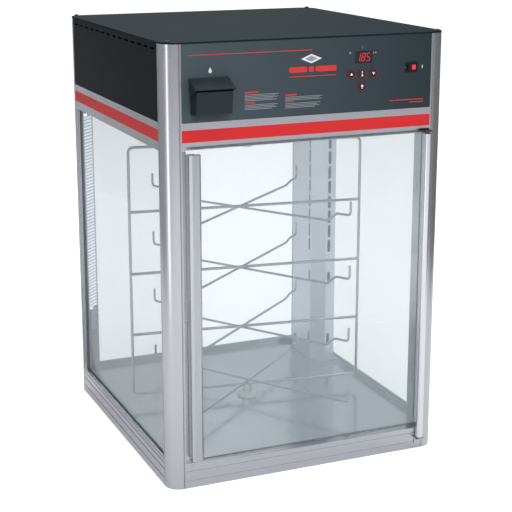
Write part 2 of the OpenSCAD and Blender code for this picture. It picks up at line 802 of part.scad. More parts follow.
module rack_tier_1() { rack_tier(0); }
module rack_tier_2() { rack_tier(1); }
module rack_tier_3() { rack_tier(2); }
module rack_tier_4() { rack_tier(3); }

// ---------- door ----------

hinge = [246.4, -half_d - 7.6];   // door hinge axis
hinge_r = 7.2;
hinge_z = [27, 648.5];
door_x = [-240.5, 245];
glass_back = -half_d + door_t;

module door_glass() {
    w = door_x[1] - door_x[0];
    color(glass_tint) along_y(-half_d, door_t) translate([door_x[0] + w / 2, (door_z + door_top) / 2])
        rounded_2d(w, door_top - door_z, 5);
}

// Grip extrusion over the free edge of the glass, ribbed on its front
module door_handle() {
    x0 = -242.7;
    x1 = -219;
    color(aluminium) translate([0, 0, 58]) linear_extrude(584) difference() {
        union() {
            polygon([[x0, -half_d - 0.1], [x0, -half_d - 11], [x0 + 4, -half_d - 15.5],
                [x1 - 6, -half_d - 15.5],
                [x1 - 2, -half_d - 12], [x1, -half_d - 3], [x1, -half_d - 0.1]]);
            translate([x0, -half_d - 1]) square([2, door_t + 2.3]);
            translate([x0, glass_back + 0.05]) square([16, 1.25]);
        }
        for (x = [x0 + 5:2.2:x1 - 7]) translate([x, -half_d - 16]) square([0.9, 1.1]);
    }
}

module door_hinge_tube() {
    color("#d4d6da") difference() {
        union() {
            translate([hinge[0], hinge[1], hinge_z[0]]) cylinder(r = hinge_r, h = hinge_z[1] - hinge_z[0]);
            translate([238, -half_d - 1.5, door_z + 2]) cube([12, door_t + 3, door_top - door_z - 6]);
        }
        translate([230, -half_d - 0.05, door_z]) cube([15.05, door_t + 0.1, door_top - door_z]);
        for (z = [hinge_z[0] - e, hinge_z[1] - 24]) translate([hinge[0], hinge[1], z])
            cylinder(r = 3 + fit, h = 24 + e);
    }
}

// Hinge brackets with their pins, and the magnetic catch on the free jamb
module door_fittings() {
    color("#2b3034") {
        translate([hinge[0] - 7.4, -half_d - 15, 22]) cube([14.8, 15, 3]);
        translate([hinge[0] - 7.4, -half_d - 2, 10]) cube([14.8, 2, 13]);
        translate([hinge[0], hinge[1], 24]) cylinder(r = 3, h = 22);
        translate([hinge[0] - 10, -half_d - 14.6, 652.8]) cube([15.2, 22.8, 2.6]);
        translate([hinge[0] - 10, -half_d + 4, 655]) cube([15, 4.2, lintel_z - 655]);
        translate([hinge[0], hinge[1], 630]) cylinder(r = 3, h = 24);
        translate([-inner_w, -half_d + 6.8, 330]) cube([9, stop[0] - 6.8, 40]);
    }
}

post_front_left();
post_front_right();
post_back_left();
post_back_right();
base_rail_front();
base_rail_back();
base_rail_left();
base_rail_right();
header_rail_front();
header_rail_back();
header_rail_left();
header_rail_right();
accent_strips();
floor_pan();
bottom_cover();
side_panes();
back_pane();
pane_gaskets();
header_deck();
control_panel();
header_side_panels();
header_back_panel();
top_cover();
cover_screws();
cord_gland();
air_duct();
temperature_probe();
blower_housing();
blower_motor();
blower_wheel();
air_heater();
lamp_reflector();
lamp_tube();
lamp_lens();
lamp_holders();
fill_hopper();
hopper_lid();
water_tank();
tank_heater();
control_board();
display_module();
power_supply();
button_up();
button_probe();
button_down();
button_light();
rocker_bezel();
rocker_switch();
rack_gearmotor();
drive_coupling();
floor_bushing();
rack_frame();
rack_tier_1();
rack_tier_2();
rack_tier_3();
rack_tier_4();
door_glass();
door_handle();
door_hinge_tube();
door_fittings();
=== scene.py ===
import math

import bpy
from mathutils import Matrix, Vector


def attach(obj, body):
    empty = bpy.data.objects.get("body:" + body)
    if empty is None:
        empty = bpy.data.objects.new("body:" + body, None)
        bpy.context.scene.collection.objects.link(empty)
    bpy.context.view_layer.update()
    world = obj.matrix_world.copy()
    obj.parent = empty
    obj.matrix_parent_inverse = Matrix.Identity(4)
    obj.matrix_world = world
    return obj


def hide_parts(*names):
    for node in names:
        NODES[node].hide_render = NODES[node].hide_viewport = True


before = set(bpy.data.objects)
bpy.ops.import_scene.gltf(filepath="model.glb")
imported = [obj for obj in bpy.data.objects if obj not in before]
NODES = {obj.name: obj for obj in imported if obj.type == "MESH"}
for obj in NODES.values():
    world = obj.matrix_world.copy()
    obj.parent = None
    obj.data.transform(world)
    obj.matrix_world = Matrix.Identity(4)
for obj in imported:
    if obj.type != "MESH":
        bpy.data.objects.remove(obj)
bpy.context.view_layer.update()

MM = 0.001

# ---- sizes shared with part.scad, in millimetres ----

HALF_W, HALF_D = 285, 305
PANEL_Y = -304.5                 # face of the control panel
PANEL_X = 252                    # half the width of the control panel
RACK_R, RACK_TURN = 247.5, math.radians(-8.2)
TIER_Z, TIER_STEP, RACK_TOP = 69, 131.3, 597
FRAME_WIRE, HOOK_WIRE, WELD = 3, 2.5, 0.04
HOOK_R, HOOK_TURN, HOOK_LIFT, HOOK_TIP = 250, math.radians(49), 12, 40
HOOK_SLOPE = (218, 196)          # where a hook wire starts to drop, and where it is level again
DOOR_X, DOOR_Y, DOOR_Z = (-240.5, 245), (-305, -300), (53.6, 652)
LENS_AT, LENS_W, LENS_Z = (37.4, 39.5), 16.5, (195, 627)
BUTTONS = {"key_up": (83, 769), "key_probe": (105.3, 769), "key_down": (129, 769),
           "key_light": (105.5, 745.5)}
BUTTON_R = 8.6
ROCKER = (209.5, 776.5)

# ---- values of the visual model alone ----

NODE_BEVEL, BOX_BEVEL = 0.2, 0.15
RIB = 7.2                        # pitch of the ribs along the lamp lens
BRACKET_SPLIT = 500              # height that parts the two hinge brackets
WAVE_UNIT = 20                   # the wave texture repeats every 2 pi / 20 at scale 1


# ---- materials ----

SOCKETS = {"specular": "Specular IOR Level", "ior": "IOR", "coat": "Coat Weight",
           "emission": "Emission Color"}
WHOLE = (0.0, 1.0)               # band of a value that uses its full range
SILVER = (0.55, 0.56, 0.59)
RED = (0.62, 0.032, 0.034)


class Paint:
    """A material under construction: its Principled shader and shortcuts to add nodes."""

    def __init__(self, name, colour, roughness, metallic=0.0, **constants):
        self.material = bpy.data.materials.new(name)
        self.material.use_nodes = True
        self.tree = self.material.node_tree
        self.shader = self.tree.nodes["Principled BSDF"]
        self.colour = (*colour, 1.0)
        self.set("Base Color", self.colour)
        self.set("Roughness", roughness)
        self.set("Metallic", metallic)
        for key, value in constants.items():
            self.set(SOCKETS[key], value)

    def set(self, socket, value):
        self.shader.inputs[socket].default_value = value

    def node(self, kind, **settings):
        made = self.tree.nodes.new("ShaderNode" + kind)
        for key, value in settings.items():
            setattr(made, key, value)
        return made

    def link(self, source, target):
        self.tree.links.new(source, target)

    def noise(self, scale, stretch=(1, 1, 1), detail=4.0):
        """Noise in object space; a low stretch on one axis draws streaks along it."""
        place = self.node("TexCoord")
        mapping = self.node("Mapping")
        mapping.inputs["Scale"].default_value = stretch
        self.link(place.outputs["Object"], mapping.inputs["Vector"])
        noise = self.node("TexNoise")
        noise.inputs["Scale"].default_value = scale
        noise.inputs["Detail"].default_value = detail
        self.link(mapping.outputs["Vector"], noise.inputs["Vector"])
        return noise.outputs["Fac"]

    def place(self, axis):
        """Position along one axis, in object space."""
        split = self.node("SeparateXYZ")
        self.link(self.node("TexCoord").outputs["Object"], split.inputs["Vector"])
        return split.outputs[axis]

    def ranged(self, source, low, high, band=(0.3, 0.7)):
        """source, taken from band to the range low to high; noise keeps to its middle band."""
        fit = self.node("MapRange")
        fit.inputs["From Min"].default_value = band[0]
        fit.inputs["From Max"].default_value = band[1]
        fit.inputs["To Min"].default_value = low
        fit.inputs["To Max"].default_value = high
        self.link(source, fit.inputs["Value"])
        return fit.outputs["Result"]

    def blend(self, factor, a, b):
        """Colour a where factor is 0 and b where it is 1; either may be a socket."""
        mix = self.node("Mix", data_type="RGBA")
        self.link(factor, mix.inputs["Factor"])
        for socket, colour in ((mix.inputs[6], a), (mix.inputs[7], b)):
            if isinstance(colour, bpy.types.NodeSocket):
                self.link(colour, socket)
            else:
                socket.default_value = colour
        return mix.outputs[2]

    def shades(self, factor, spread):
        """Base colour varied by factor, darker and lighter by spread."""
        dark = [c * (1 - spread) for c in self.colour[:3]] + [1.0]
        light = [min(1.0, c * (1 + spread)) for c in self.colour[:3]] + [1.0]
        return self.blend(factor, dark, light)

    def bump(self, height, strength, distance=0.0002):
        bump = self.node("Bump")
        bump.inputs["Strength"].default_value = strength
        bump.inputs["Distance"].default_value = distance
        self.link(height, bump.inputs["Height"])
        self.link(bump.outputs["Normal"], self.shader.inputs["Normal"])

    def wear(self, grain, spread, rough, strength):
        """Grain drives colour, roughness and relief; a broad noise adds faint handling marks."""
        broad = self.noise(6.0, detail=2.0)
        shade = self.shades(self.ranged(grain, 0.0, 1.0), spread)
        soft = self.blend(self.ranged(broad, 0.0, 0.25), shade, self.colour)
        self.link(soft, self.shader.inputs["Base Color"])
        self.link(self.ranged(grain, *rough), self.shader.inputs["Roughness"])
        self.bump(grain, strength)
        return self.material


def brushed(name, colour, rough, along, spread=0.05, strength=0.06):
    """Metal with fine drawing lines along one axis."""
    paint = Paint(name, colour, rough[0], metallic=1.0)
    stretch = [0.015 if axis == along else 1.0 for axis in "xyz"]
    return paint.wear(paint.noise(900.0, stretch), spread, rough, strength)


def moulded(name, colour, rough, scale=700.0, spread=0.06, strength=0.12, specular=0.3,
            **constants):
    """Plastic, rubber or paint with a fine even texture."""
    paint = Paint(name, colour, rough[0], specular=specular, **constants)
    return paint.wear(paint.noise(scale), spread, rough, strength)


def cast(name, colour, rough, scale=240.0, spread=0.05, strength=0.1):
    """Plated or cast metal with no grain direction."""
    paint = Paint(name, colour, rough[0], metallic=1.0)
    return paint.wear(paint.noise(scale), spread, rough, strength)


def panel_film():
    """Printed film of the control panel with painted shading, lighter at the left and darker at the
    right, and a fine satin texture.
    """
    paint = Paint("panel_film", (0.045, 0.060, 0.070), 0.34, specular=0.25)
    # painted shading: the film's colour runs from lighter at the left to darker at the right
    across = paint.ranged(paint.place("X"), *WHOLE, band=(-PANEL_X * MM, PANEL_X * MM))
    painted_shading_across = paint.blend(across, (0.058, 0.080, 0.092, 1), (0.016, 0.027, 0.033, 1))
    grain = paint.noise(1500.0)
    speckle = paint.blend(paint.ranged(grain, 0.0, 0.06), painted_shading_across, (0.14, 0.16, 0.18, 1))
    paint.link(speckle, paint.shader.inputs["Base Color"])
    paint.link(paint.ranged(grain, 0.30, 0.38), paint.shader.inputs["Roughness"])
    paint.bump(grain, 0.05)
    return paint.material


def glass(name, tint, clear, edge):
    """Clear sheet: nearly invisible face on, more mirror-like at a low angle."""
    paint = Paint(name, tint, 0.03, ior=1.5)
    facing = paint.node("LayerWeight")
    facing.inputs["Blend"].default_value = 0.35
    film = paint.noise(3.0, detail=1.0)
    paint.link(paint.ranged(facing.outputs["Fresnel"], clear, edge, WHOLE),
               paint.shader.inputs["Alpha"])
    paint.link(paint.ranged(film, 0.02, 0.03), paint.shader.inputs["Roughness"])
    paint.link(paint.shades(film, 0.01), paint.shader.inputs["Base Color"])
    return paint.material


def glowing(name, colour, strength, rough=(0.3, 0.4)):
    """Lit plastic, a little uneven like a diffuser."""
    paint = Paint(name, colour, rough[0])
    paint.set("Emission Color", paint.colour)
    grain = paint.noise(60.0)
    paint.link(paint.ranged(grain, strength * 0.92, strength),
               paint.shader.inputs["Emission Strength"])
    return paint.wear(grain, 0.03, rough, 0.03)


def fitting_metal():
    """Hinge fittings, darker above BRACKET_SPLIT (the upper hinge bracket); the lower bracket and
    the catch stay bright silver.
    """
    paint = Paint("hinge_and_catch", (0.10, 0.105, 0.11), 0.35, metallic=1.0)
    above = paint.node("Math", operation="GREATER_THAN")
    above.inputs[1].default_value = BRACKET_SPLIT * MM
    paint.link(paint.place("Z"), above.inputs[0])
    grain = paint.noise(240.0)
    dark = paint.shades(grain, 0.08)
    # one material, coloured darker above BRACKET_SPLIT and silver below it
    paint.link(paint.blend(above.outputs["Value"], (*SILVER, 1), dark),
               paint.shader.inputs["Base Color"])
    paint.link(paint.ranged(grain, 0.28, 0.42), paint.shader.inputs["Roughness"])
    paint.bump(grain, 0.08)
    return paint.material


def ribbed_lens():
    """Lit diffuser whose ribs get painted light and shade as bands: a painted highlight on the
    crests, painted bluish shade in the valleys.
    """
    paint = Paint("lamp_diffuser", (0.86, 0.89, 0.95), 0.3)
    wave = paint.node("TexWave", bands_direction="Z")
    wave.inputs["Scale"].default_value = 2 * math.pi / (WAVE_UNIT * RIB * MM)
    paint.link(paint.node("TexCoord").outputs["Object"], wave.inputs["Vector"])
    # painted rib shading in base and emission colour: painted highlight on the crests, painted
    # shade in the valleys
    painted_rib_shading = paint.blend(wave.outputs["Fac"], (0.60, 0.64, 0.76, 1), (0.95, 0.97, 1.0, 1))
    paint.link(painted_rib_shading, paint.shader.inputs["Base Color"])
    paint.link(painted_rib_shading, paint.shader.inputs["Emission Color"])
    # emission strength follows the same painted rib shading
    paint.link(paint.ranged(wave.outputs["Fac"], 0.22, 0.75, WHOLE),
               paint.shader.inputs["Emission Strength"])
    grain = paint.noise(400.0)
    paint.link(paint.ranged(grain, 0.24, 0.36), paint.shader.inputs["Roughness"])
    paint.bump(grain, 0.04)
    return paint.material


MATERIALS = {
    "aluminium_z": brushed("aluminium_upright", SILVER, (0.17, 0.27), "z"),
    "aluminium_x": brushed("aluminium_rail_x", SILVER, (0.17, 0.27), "x"),
    "aluminium_y": brushed("aluminium_rail_y", SILVER, (0.17, 0.27), "y"),
    "stainless": brushed("stainless_floor", (0.45, 0.455, 0.48), (0.12, 0.22), "y", 0.07, 0.05),
    "galvanised": cast("galvanised_sheet", (0.55, 0.56, 0.58), (0.34, 0.5), 90.0, 0.14),
    "duct": brushed("duct_sheet", (0.80, 0.80, 0.86), (0.38, 0.5), "z", 0.03),
    "chrome": cast("chrome_wire", (0.44, 0.455, 0.475), (0.08, 0.15), 300.0, 0.04, 0.03),
    "hinge": brushed("hinge_tube", (0.78, 0.79, 0.81), (0.14, 0.24), "z", 0.03),
    "fitting": fitting_metal(),
    "screw": cast("blackened_screw", (0.035, 0.04, 0.045), (0.28, 0.42)),
    "heater": cast("heater_sheath", (0.38, 0.37, 0.36), (0.3, 0.5), 200.0, 0.16),
    "motor": moulded("motor_enamel", (0.16, 0.17, 0.18), (0.32, 0.46), 420.0, 0.1),
    "black_sheet": moulded("black_painted_steel", (0.004, 0.007, 0.009), (0.3, 0.4), 900.0, 0.12,
                           0.05, specular=0.1, ior=1.2),
    "cover": moulded("cover_painted_steel", (0.009, 0.019, 0.024), (0.5, 0.6), 900.0, 0.1, 0.06,
                     specular=0.1, ior=1.2),
    "red_strip": moulded("accent_strip_vinyl", RED, (0.3, 0.4), 1200.0, 0.03, 0.03,
                         specular=0.15, ior=1.3),
    "panel": panel_film(),
    "black_plastic": moulded("black_moulding", (0.006, 0.008, 0.009), (0.3, 0.44), 800.0, 0.12,
                             0.16),
    "hopper": moulded("hopper_moulding", (0.011, 0.018, 0.023), (0.34, 0.48), 800.0, 0.1, 0.16),
    "groove": moulded("groove_shadow", (0.10, 0.105, 0.115), (0.5, 0.6)),
    "gasket": moulded("gasket_rubber", (0.16, 0.165, 0.17), (0.62, 0.78), 500.0, 0.12, 0.3),
    "bushing": moulded("bushing_nylon", (0.62, 0.61, 0.56), (0.4, 0.52), 400.0, 0.05),
    "tank": moulded("tank_polymer", (0.62, 0.66, 0.67), (0.35, 0.5), 200.0, 0.04, 0.08),
    "board": moulded("circuit_laminate", (0.015, 0.13, 0.055), (0.3, 0.42), 300.0, 0.2),
    "display": moulded("display_window", (0.010, 0.006, 0.007), (0.08, 0.14), 500.0, 0.1, 0.02,
                       coat=0.6),
    "button": moulded("button_membrane", (0.012, 0.018, 0.022), (0.3, 0.4), 900.0, 0.1, 0.1),
    "rocker": moulded("rocker_moulding", (0.014, 0.015, 0.016), (0.2, 0.3), 900.0, 0.1, 0.08),
    "glass": glass("float_glass", (0.70, 0.83, 0.86), 0.15, 0.30),
    "glass_edge": glass("glass_ground_edge", (0.03, 0.10, 0.085), 0.72, 0.9),
    "lens": ribbed_lens(),
    "holder": moulded("lamp_holder_grey", (0.42, 0.43, 0.46), (0.35, 0.48), 500.0, 0.05),
    "tube": glowing("lamp_tube_glass", (0.95, 0.95, 0.92), 1.2),
    "lit_red": glowing("lit_red", (0.70, 0.025, 0.035), 0.5),
    "ink_white": moulded("ink_white", (0.72, 0.74, 0.75), (0.4, 0.5), 1500.0, 0.04, 0.03),
    "ink_grey": moulded("ink_grey", (0.26, 0.29, 0.31), (0.4, 0.5), 1500.0, 0.04, 0.03),
    "ink_ring": moulded("ink_ring", (0.33, 0.022, 0.026), (0.36, 0.46), 1500.0, 0.04, 0.03),
    "ink_red": moulded("ink_red", (0.62, 0.035, 0.035), (0.36, 0.46), 1500.0, 0.04, 0.03),
}

LOOKS = {
    "aluminium_z": ["post_front_left", "post_front_right", "post_back_left", "post_back_right",
                    "door_handle"],
    "aluminium_x": ["base_rail_front", "base_rail_back", "header_rail_front", "header_rail_back"],
    "aluminium_y": ["base_rail_left", "base_rail_right", "header_rail_left", "header_rail_right"],
    "stainless": ["floor_pan", "header_deck"],
    "galvanised": ["bottom_cover", "blower_housing", "power_supply", "lamp_reflector"],
    "duct": ["air_duct"],
    "chrome": ["rack_frame", "rack_tier_1", "rack_tier_2", "rack_tier_3", "rack_tier_4",
               "temperature_probe"],
    "hinge": ["door_hinge_tube", "drive_coupling"],
    "fitting": ["door_fittings"],
    "screw": ["cover_screws"],
    "heater": ["air_heater", "tank_heater"],
    "motor": ["blower_motor", "rack_gearmotor", "blower_wheel"],
    "black_sheet": ["header_side_panels", "header_back_panel"],
    "cover": ["top_cover"],
    "red_strip": ["accent_strips"],
    "panel": ["control_panel"],
    "black_plastic": ["rocker_bezel", "cord_gland"],
    "holder": ["lamp_holders"],
    "hopper": ["fill_hopper", "hopper_lid"],
    "gasket": ["pane_gaskets"],
    "bushing": ["floor_bushing"],
    "tank": ["water_tank"],
    "board": ["control_board"],
    "display": ["display_module"],
    "button": ["button_up", "button_probe", "button_down", "button_light"],
    "rocker": ["rocker_switch"],
    "glass": ["side_panes", "back_pane", "door_glass"],
    "lens": ["lamp_lens"],
    "tube": ["lamp_tube"],
}


def dress(node, material):
    """Gives a CAD node its material and softly broken edges."""
    node.data.materials.clear()
    node.data.materials.append(material)
    edge = node.modifiers.new("broken_edges", "BEVEL")
    edge.width = NODE_BEVEL * MM
    edge.segments = 2
    edge.limit_method = "ANGLE"
    edge.angle_limit = math.radians(40)
    edge.use_clamp_overlap = True


for look, names in LOOKS.items():
    for name in names:
        dress(NODES[name], MATERIALS[look])


# ---- drawing helpers ----

def placed(name, data):
    """A new object with this data, linked into the scene."""
    made = bpy.data.objects.new(name, data)
    bpy.context.scene.collection.objects.link(made)
    return made


def mesh_piece(name, points, faces, material, body, smooth=False):
    """A mesh in millimetres, made into a piece that rides on a body."""
    mesh = bpy.data.meshes.new(name)
    mesh.from_pydata([[c * MM for c in p] for p in points], [], faces)
    mesh.validate()
    for face in mesh.polygons:
        face.use_smooth = smooth
    mesh.materials.append(MATERIALS[material])
    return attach(placed(name, mesh), body)


LIFT = 0.02                      # gap that keeps a printed shape clear of its face


def printed(name, outlines, material, body="cabinet", face=PANEL_Y, proud=0.12):
    """Flat (x, z) outlines standing a little proud of a face turned to the front."""
    points, faces = [], []
    for outline in outlines:
        first, count = len(points), len(outline)
        points += [(x, face - proud, z) for x, z in outline]
        points += [(x, face - LIFT, z) for x, z in outline]
        faces.append([first + k for k in range(count)])
        for k in range(count):
            n = (k + 1) % count
            faces.append([first + k, first + n, first + count + n, first + count + k])
    made = mesh_piece(name, points, faces, material, body)
    return made


def bar(x0, z0, x1, z1, rounding=0.45):
    """Outline of a bar with rounded ends."""
    r = min(rounding, (x1 - x0) / 2, (z1 - z0) / 2)
    corners = [(x0 + r, z0 + r, 180), (x1 - r, z0 + r, 270),
               (x1 - r, z1 - r, 0), (x0 + r, z1 - r, 90)]
    return [(x + r * math.cos(math.radians(a + t)), z + r * math.sin(math.radians(a + t)))
            for x, z, a in corners for t in (0, 30, 60, 90)]


def disc(x, z, r, start=0, sweep=360, count=32):
    """Outline of a disc, or of a slice of one."""
    steps = count if sweep == 360 else count + 1
    return [(x + r * math.cos(math.radians(start + sweep * k / count)),
             z + r * math.sin(math.radians(start + sweep * k / count))) for k in range(steps)]


def ring(name, x, z, inner, outer, material, body, face, proud=0.15, count=48):
    """A flat ring standing proud of a face turned to the front."""
    points, faces = [], []
    for k in range(count):
        a = 2 * math.pi * k / count
        for r, y in ((inner, face), (inner, face - proud), (outer, face - proud), (outer, face)):
            points.append((x + r * math.cos(a), y, z + r * math.sin(a)))
    for k in range(count):
        a, b = 4 * k, 4 * ((k + 1) % count)
        faces += [[a + i, a + (i + 1) % 4, b + (i + 1) % 4, b + i] for i in range(4)]
    return mesh_piece(name, points, faces, material, body)


def filleted(points, bend, steps=8):
    """The path through points with each inner corner rounded."""
    path = [Vector(points[0])]
    for a, b, c in zip(points, points[1:], points[2:]):
        a, b, c = Vector(a), Vector(b), Vector(c)
        into, out = (b - a).normalized(), (c - b).normalized()
        turn = into.angle(out)
        reach = bend * math.tan(turn / 2)
        start, side = b - into * reach, (out - into * math.cos(turn)).normalized()
        path += [start + into * bend * math.sin(turn * k / steps)
                 + side * bend * (1 - math.cos(turn * k / steps)) for k in range(steps + 1)]
    return path + [Vector(points[-1])]


def wires(name, paths, radius, material, body):
    """Round wires along paths, in millimetres, as one curve piece."""
    curve = bpy.data.curves.new(name, "CURVE")
    curve.dimensions = "3D"
    curve.bevel_depth = radius * MM
    curve.bevel_resolution = 5
    curve.use_fill_caps = True
    for path in paths:
        line = curve.splines.new("POLY")
        line.points.add(len(path) - 1)
        for point, place in zip(line.points, path):
            point.co = (*(Vector(place) * MM), 1.0)
        line.use_smooth = True
    curve.materials.append(MATERIALS[material])
    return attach(placed(name, curve), body)


def turned(name, profile, material, body, count=40):
    """A solid turned about the rack's axis from (radius, z) points."""
    points = [(r * math.cos(2 * math.pi * k / count), r * math.sin(2 * math.pi * k / count), z)
              for r, z in profile for k in range(count)]
    faces = [[i * count + k, i * count + (k + 1) % count,
              (i + 1) * count + (k + 1) % count, (i + 1) * count + k]
             for i in range(len(profile) - 1) for k in range(count)]
    faces += [list(range(count))[::-1], [(len(profile) - 1) * count + k for k in range(count)]]
    return mesh_piece(name, points, faces, material, body)


BOX_FACES = [[0, 2, 3, 1], [4, 5, 7, 6], [0, 1, 5, 4], [2, 6, 7, 3], [0, 4, 6, 2], [1, 3, 7, 5]]


def boxes(name, several, material, body):
    """Several boxes, each as its x, y and z ranges, with broken edges."""
    points, faces = [], []
    for x, y, z in several:
        faces += [[len(points) + k for k in face] for face in BOX_FACES]
        points += [(a, b, c) for c in z for b in y for a in x]
    made = mesh_piece(name, points, faces, material, body)
    edge = made.modifiers.new("broken_edges", "BEVEL")
    edge.width = BOX_BEVEL * MM
    return made


# ---- revolving rack: smooth drawn wires in place of the faceted CAD ones ----

def in_rack(points, turn=0.0):
    """(across, z) points of a rack wire in the row frame, at the rack's resting angle."""
    a = RACK_TURN + turn
    return [(x * math.cos(a), x * math.sin(a), z) for x, z in points]


def hook_path(z, level):
    """One tier wire from tip to tip, dropping to its level between the hooks."""
    half = [(HOOK_R, z + HOOK_TIP), (HOOK_R, z + HOOK_LIFT),
            (HOOK_SLOPE[0], z + HOOK_LIFT), (HOOK_SLOPE[1], z + level)]
    return [(-x, h) for x, h in half] + half[::-1]


ring_points = [(-3, TIER_Z), (-RACK_R, TIER_Z), (-RACK_R, RACK_TOP), (RACK_R, RACK_TOP),
               (RACK_R, TIER_Z), (3, TIER_Z)]
rack_ring = wires("rack_ring", [filleted(in_rack(ring_points), 11)], FRAME_WIRE, "chrome", "rack")
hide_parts("rack_frame")
hub_profile = [(5, 35), (5, 49.3), (8.4, 49.3), (9, 49.9), (9, 70.6), (8.4, 71.2)]
turned("rack_hub", hub_profile, "hinge", "rack")
spindle_profile = [(5, RACK_TOP), (5, 612.2), (4.2, 613)]
turned("rack_spindle", spindle_profile, "hinge", "rack")

NEST = FRAME_WIRE + HOOK_WIRE + WELD
reach = RACK_R - FRAME_WIRE - WELD
for i in range(4):
    z = TIER_Z + i * TIER_STEP
    under = -NEST if i else NEST + 2 * HOOK_WIRE + WELD
    hooks = [filleted(in_rack(hook_path(z, level), turn), 7)
             for level, turn in ((NEST, HOOK_TURN), (under, -HOOK_TURN))]
    tier = wires(f"rack_tier_{i + 1}_hooks", hooks, HOOK_WIRE, "chrome", "rack")
    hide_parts(f"rack_tier_{i + 1}")
    if i:
        crossbar = wires(f"rack_tier_{i + 1}_crossbar", [in_rack([(-reach, z), (reach, z)])],
                         FRAME_WIRE, "chrome", "rack")

# ---- lamp lens: a ribbed diffuser in place of the plain CAD strip ----

LENS_ROWS, RIB_DEPTH = 360, 0.5
CHAMFER, CHAMFER_W = 0.6, 1.5
lens_points, lens_faces = [], []
for row in range(LENS_ROWS + 1):
    z = LENS_Z[0] + (LENS_Z[1] - LENS_Z[0]) * row / LENS_ROWS
    front = LENS_AT[1] - RIB_DEPTH + RIB_DEPTH * math.cos(2 * math.pi * (z - LENS_Z[0]) / RIB)
    for along, across in ((LENS_AT[0], -LENS_W), (front - CHAMFER, -LENS_W),
                          (front, -LENS_W + CHAMFER_W), (front, LENS_W - CHAMFER_W),
                          (front - CHAMFER, LENS_W), (LENS_AT[0], LENS_W)):
        lens_points.append((-HALF_W + (along + across) / math.sqrt(2),
                            HALF_D - (along - across) / math.sqrt(2), z))
for row in range(LENS_ROWS):
    lens_faces += [[6 * row + k, 6 * row + (k + 1) % 6, 6 * row + 6 + (k + 1) % 6, 6 * row + 6 + k]
                   for k in range(6)]
lens_faces += [list(range(6))[::-1], [6 * LENS_ROWS + k for k in range(6)]]
lens = mesh_piece("lamp_lens_ribbed", lens_points, lens_faces, "lens", "cabinet", smooth=True)
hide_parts("lamp_lens")

# ---- door edges, and the shadow lines in the posts' grooves ----

GROOVES, GROOVE_W = (28.45, 30.65), 0.9
GROOVE_DEEP, GROOVE_Z = (0.38, 0.58), (0.5, 838)
CORNERS = [(sx, sy) for sx in (-1, 1) for sy in (-1, 1)]
grooves = []
for sx, sy in CORNERS:
    into_x = sorted(sx * (HALF_W - d) for d in GROOVE_DEEP)
    into_y = sorted(sy * (HALF_D - d) for d in GROOVE_DEEP)
    for g in GROOVES:
        along_x = sorted(sx * (HALF_W - d) for d in (g, g + GROOVE_W))
        along_y = sorted(sy * (HALF_D - d) for d in (g, g + GROOVE_W))
        grooves += [(along_x, into_y, GROOVE_Z), (into_x, along_y, GROOVE_Z)]
boxes("post_groove_lines", grooves, "groove", "cabinet")

EDGE, EDGE_GAP = 0.9, 0.02
edge_x = (DOOR_X[0] + 4, DOOR_X[1] - 4)
door_edges = boxes("door_glass_edges", [
    (edge_x, DOOR_Y, (DOOR_Z[1] - EDGE, DOOR_Z[1] - EDGE_GAP)),
    (edge_x, DOOR_Y, (DOOR_Z[0] + EDGE_GAP, DOOR_Z[0] + EDGE))], "glass_edge", "door")

# ---- printing on the control panel: plain bars stand in for all wording ----

def lines(x0, x1, z_top, count, gap=2.6, height=1.0, ends=(0, 6, 2, 11, 4, 8)):
    """A block of greeked text lines, ragged on the right."""
    return [bar(x0, z_top - gap * k - height, x1 - ends[k % len(ends)], z_top - gap * k)
            for k in range(count)]


printed("panel_rule", [bar(-237, 817.3, 3, 818.7, 0.3)], "ink_red")
printed("panel_motif", [[(-20, 802), (1, 810.5), (22, 802), (1, 793.5)]], "ink_white")
printed("panel_motif_core", [[(-12, 802), (1, 807.3), (14, 802), (1, 796.7)]], "ink_grey",
        proud=0.2)
printed("panel_title", [bar(x0, 778, x1, 788, 2) for x0, x1 in ((-43, -8), (-4, 6), (10, 52))],
        "ink_red")
printed("panel_underline", [bar(-43, 769.6, 52, 771.0, 0.4)], "ink_red")
printed("panel_heads", [bar(-131, 745.6, -104, 748, 0.6), bar(-131, 727, -110, 729.2, 0.6),
                        bar(-51, 736.8, -28, 739.2, 0.6), bar(-51, 725, -34, 727.2, 0.6),
                        bar(165, 714.4, 237, 716, 0.4), bar(207, 709.4, 237, 711, 0.4)], "ink_red")
printed("panel_notes", lines(-131, -64, 743, 5) + lines(-131, -66, 724.4, 4)
        + lines(-51, 24, 734.4, 3) + lines(-51, 20, 722.6, 4), "ink_grey")
printed("panel_drop", [disc(-197, 788.6, 3.2, 150, 240, 20) + [(-197, 796)]], "ink_white")

# ---- display, buttons and rocker ----

SEGMENTS = {"1": "bc", "8": "abcdefg", "5": "afgcd"}
SLANT = 0.16


def digit(figure, x, z, w=7.2, h=15.0, t=1.15):
    """Outlines of a leaning seven-segment figure whose lower left corner is at x, z."""
    gap, mid = 0.35, h / 2
    spans = {"a": (gap + t, h - t, w - gap - t, h), "d": (gap + t, 0, w - gap - t, t),
             "g": (gap + t, mid - t / 2, w - gap - t, mid + t / 2),
             "b": (w - t, mid + gap, w, h - gap), "c": (w - t, gap, w, mid - gap),
             "f": (0, mid + gap, t, h - gap), "e": (0, gap, t, mid - gap)}
    return [[(x + px + SLANT * pz, z + pz) for px, pz in bar(*spans[s], 0.6)]
            for s in SEGMENTS[figure]]


DIGIT_PITCH = 10.2
printed("display_figures", [outline for k, figure in enumerate("185")
                            for outline in digit(figure, 92.6 + DIGIT_PITCH * k, 792.4)],
        "lit_red", proud=0.2)
printed("display_icons", [bar(105.1, 816, 106.1, 820.6), bar(78.2, 807, 81.8, 810),
                          disc(128.4, 807.2, 1.3), bar(131.4, 806, 134.4, 808.6, 0.6)], "ink_grey")


def arrow(x, z, up):
    """Outline of a small triangle that points up or down."""
    s = 1 if up else -1
    return [(x - 3.2 * s, z - 2.2 * s), (x + 3.2 * s, z - 2.2 * s), (x, z + 3.2 * s)]


